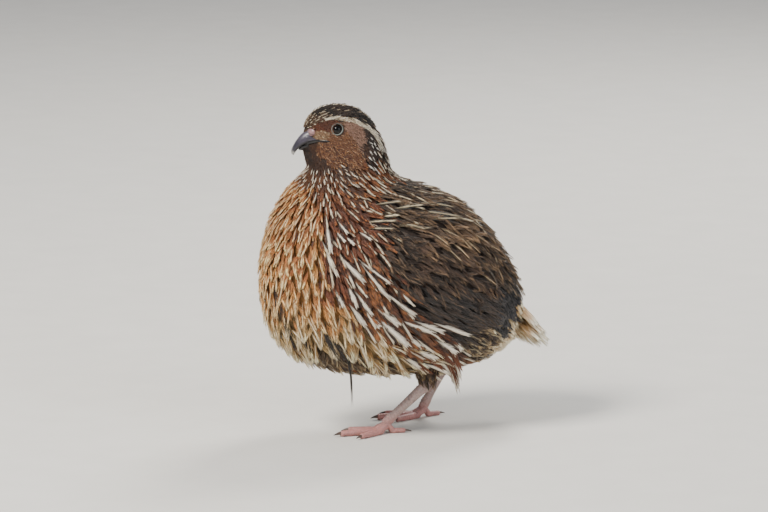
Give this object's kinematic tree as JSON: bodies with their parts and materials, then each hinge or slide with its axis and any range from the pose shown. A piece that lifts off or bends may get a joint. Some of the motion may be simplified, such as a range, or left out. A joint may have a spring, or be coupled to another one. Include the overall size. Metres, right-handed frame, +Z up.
{
  "type": "coturnix quail",
  "caption": "Life-size still model of a small plump ground bird with streaked, fluffed plumage, standing tall on both feet with its head turned a little to one side.",
  "frame": {"origin": "on the floor, under the middle of the bird's bounding box", "axes": "+Z up, -Y the way the body faces, so +X is the bird's left side"},
  "size_m": [0.0848, 0.145, 0.1605],
  "materials": {
    "head_plumage": "soft matt feathers, dark rufous with pale streaks",
    "breast_plumage": "soft matt feathers, warm buff",
    "wing_plumage": "soft matt feathers, dark brown with cream shaft streaks",
    "pale_plumage": "loose matt feathers, cream",
    "leg_skin": "scaly skin, greyish pink",
    "bill_horn": "smooth horn, slate grey",
    "claw_horn": "smooth horn, grey brown",
    "eye": "wet and glossy, dark brown"
  },
  "bodies": {
    "root": {"head": "head_plumage", "neck": "head_plumage", "torso": "breast_plumage", "wing_left": "wing_plumage", "wing_right": "wing_plumage", "tail": "pale_plumage", "thigh_left": "pale_plumage", "thigh_right": "pale_plumage", "shank_left": "leg_skin", "shank_right": "leg_skin", "foot_left": "leg_skin", "foot_right": "leg_skin", "claw_left_inner": "claw_horn", "claw_left_middle": "claw_horn", "claw_left_outer": "claw_horn", "claw_left_hind": "claw_horn", "claw_right_inner": "claw_horn", "claw_right_middle": "claw_horn", "claw_right_outer": "claw_horn", "claw_right_hind": "claw_horn", "bill_upper": "bill_horn", "bill_lower": "bill_horn", "eye_left": "eye", "eye_right": "eye"}
  },
  "joints": []
}
